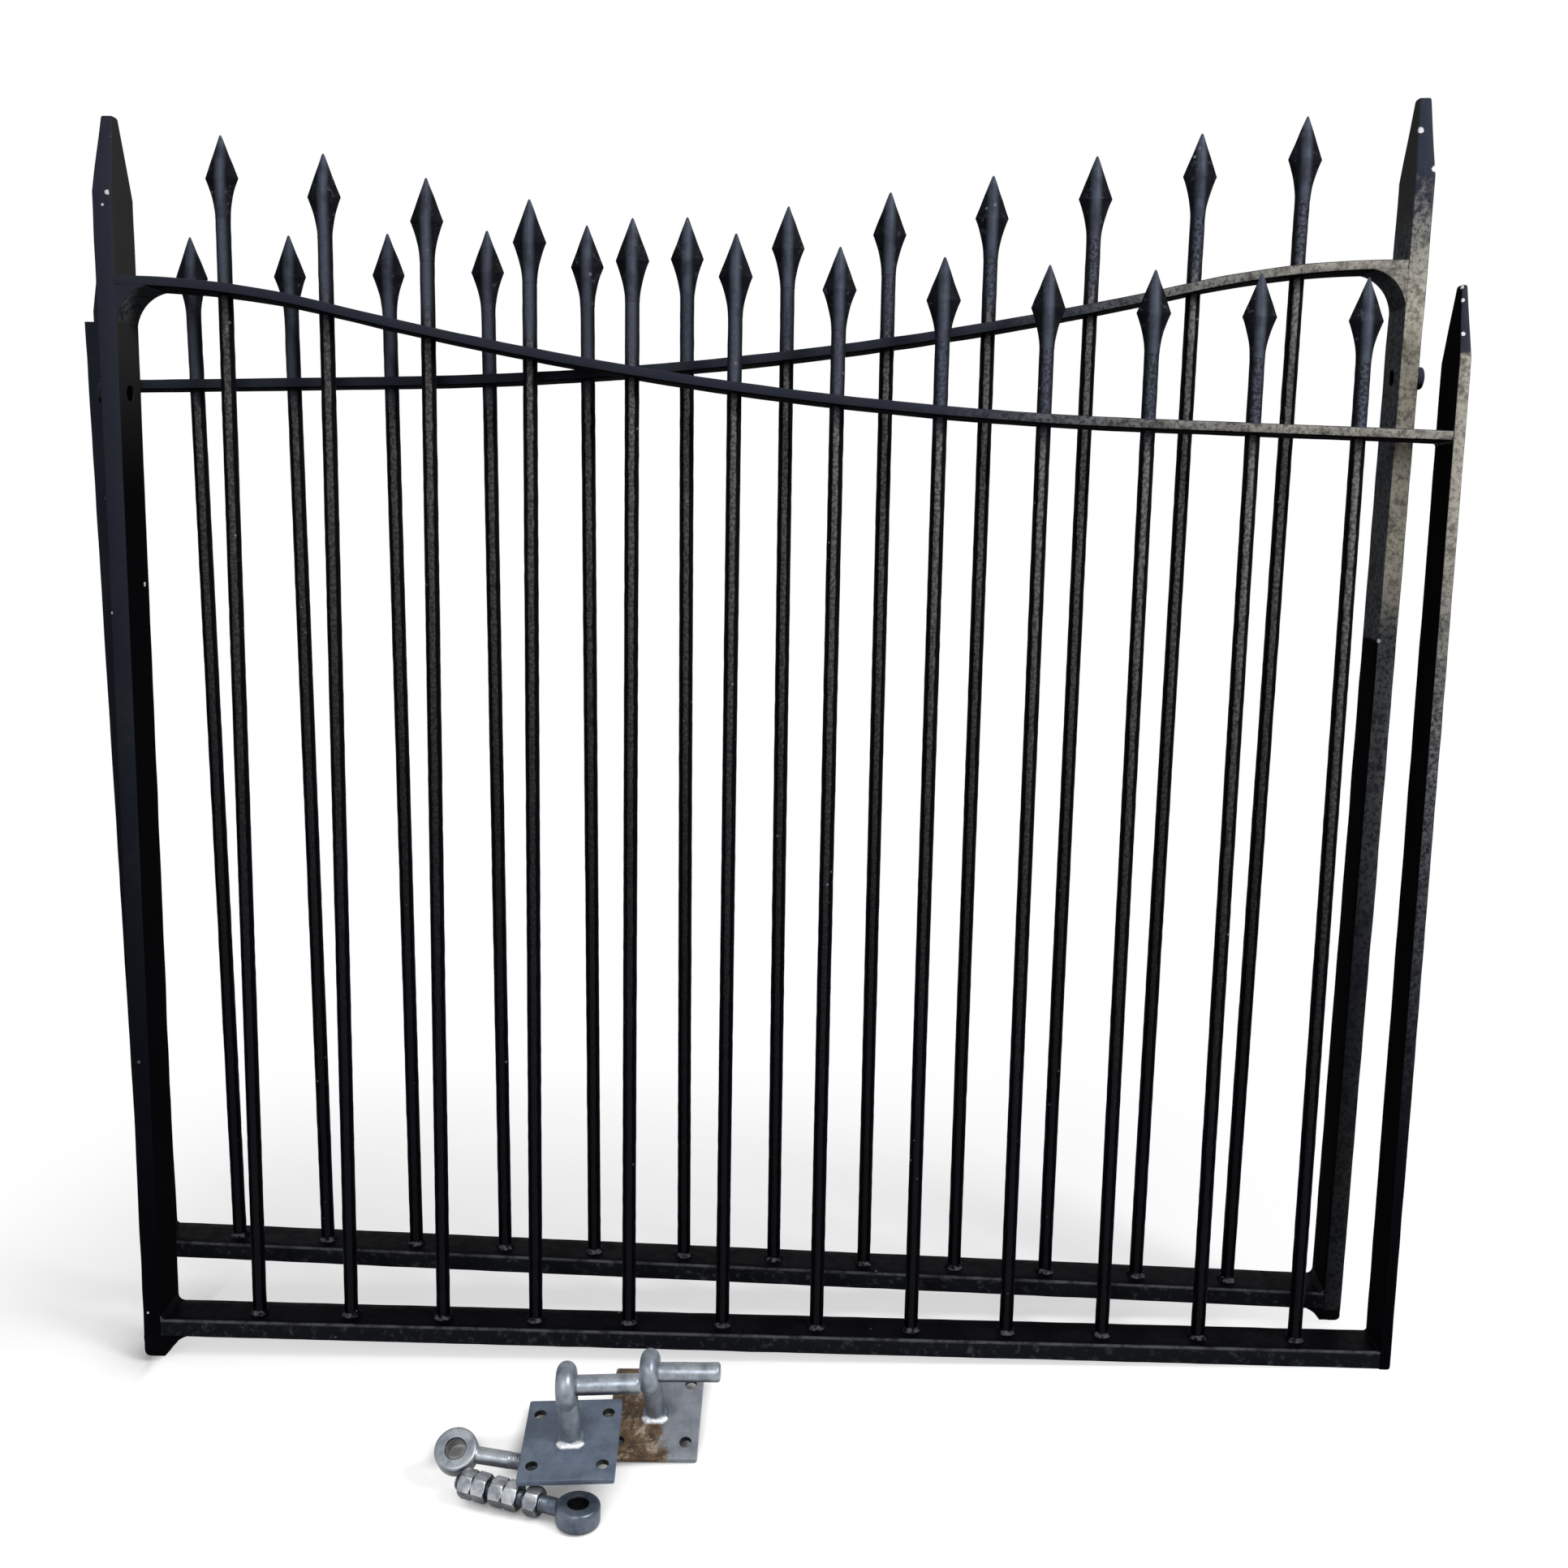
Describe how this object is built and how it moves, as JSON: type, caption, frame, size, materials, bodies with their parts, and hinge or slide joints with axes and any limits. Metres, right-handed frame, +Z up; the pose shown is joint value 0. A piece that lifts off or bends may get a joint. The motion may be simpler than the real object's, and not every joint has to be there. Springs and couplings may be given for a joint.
{
  "type": "pair of garden gates",
  "caption": "Pair of wrought steel garden gate leaves with spear-topped bars under a sweeping top rail, stood one before the other with loose hook-and-eye hinge irons",
  "frame": {"origin": "point on the ground under the front leaf's heel", "axes": "+X along the front leaf from its hanging stile to its meeting stile, +Y from the front leaf to the rear leaf, +Z up"},
  "size_m": [1.4508, 0.4526, 1.3383],
  "materials": {
    "black_paint": "satin black paint over steel, dusty and chipped in places",
    "painted_weld": "painted weld bead, a little worn",
    "galvanised_steel": "galvanised steel, blue-grey and mottled",
    "bright_weld": "bright galvanised weld bead"
  },
  "bodies": {
    "hinge_irons": {"front_hook_arm": "galvanised_steel", "front_hook_pin": "galvanised_steel", "front_hook_plate": "galvanised_steel", "front_hook_weld": "bright_weld", "left_eye_bolt": "galvanised_steel", "rear_hook_arm": "galvanised_steel", "rear_hook_pin": "galvanised_steel", "rear_hook_plate": "galvanised_steel", "rear_hook_weld": "bright_weld", "right_eye_bolt": "galvanised_steel"},
    "front_leaf": {"front_bar_01": "black_paint", "front_bar_02": "black_paint", "front_bar_03": "black_paint", "front_bar_04": "black_paint", "front_bar_05": "black_paint", "front_bar_06": "black_paint", "front_bar_07": "black_paint", "front_bar_08": "black_paint", "front_bar_09": "black_paint", "front_bar_10": "black_paint", "front_bar_11": "black_paint", "front_bar_12": "black_paint", "front_bottom_rail": "black_paint", "front_foot_welds": "painted_weld", "front_frame_welds": "painted_weld", "front_hanging_stile": "black_paint", "front_heel": "black_paint", "front_hinge_boss": "black_paint", "front_meeting_stile": "black_paint", "front_spear_heads": "black_paint", "front_top_bracket": "black_paint", "front_top_rail": "black_paint"},
    "rear_leaf": {"rear_bar_01": "black_paint", "rear_bar_02": "black_paint", "rear_bar_03": "black_paint", "rear_bar_04": "black_paint", "rear_bar_05": "black_paint", "rear_bar_06": "black_paint", "rear_bar_07": "black_paint", "rear_bar_08": "black_paint", "rear_bar_09": "black_paint", "rear_bar_10": "black_paint", "rear_bar_11": "black_paint", "rear_bar_12": "black_paint", "rear_bottom_rail": "black_paint", "rear_closing_bar": "black_paint", "rear_foot_welds": "painted_weld", "rear_frame_welds": "painted_weld", "rear_hanging_stile": "black_paint", "rear_heel": "black_paint", "rear_hinge_boss": "black_paint", "rear_meeting_stile": "black_paint", "rear_spear_heads": "black_paint", "rear_top_bracket": "black_paint", "rear_top_rail": "black_paint"},
    "right_bolt_nut_a": {"right_eye_bolt_nut_a": "galvanised_steel"},
    "right_bolt_nuts_b": {"right_eye_bolt_nuts_b": "galvanised_steel"},
    "right_bolt_nuts_c": {"right_eye_bolt_nuts_c": "galvanised_steel"}
  },
  "joints": [
    {"name": "front_leaf_swing", "type": "hinge", "parent": "hinge_irons", "child": "front_leaf", "pos_m": [0, 0, 0.02], "axis": [0.0382, 0, 0.9993], "range_deg": [0, 100]},
    {"name": "rear_leaf_swing", "type": "hinge", "parent": "front_leaf", "child": "rear_leaf", "pos_m": [1.331, 0.09511, 0.02], "axis": [-0.0362, 0.0293, -0.9989], "range_deg": [0, 100]},
    {"name": "right_nut_a_spin", "type": "hinge", "parent": "hinge_irons", "child": "right_bolt_nut_a", "pos_m": [0.48883, -0.2987, 0.01458], "axis": [-0.9594, 0.2733, 0.0698], "continuous": true},
    {"name": "right_nuts_b_spin", "type": "hinge", "parent": "hinge_irons", "child": "right_bolt_nuts_b", "pos_m": [0.461, -0.29078, 0.0166], "axis": [-0.9594, 0.2733, 0.0698], "continuous": true},
    {"name": "right_nuts_c_spin", "type": "hinge", "parent": "hinge_irons", "child": "right_bolt_nuts_c", "pos_m": [0.42982, -0.28189, 0.01887], "axis": [-0.9594, 0.2733, 0.0698], "continuous": true}
  ]
}
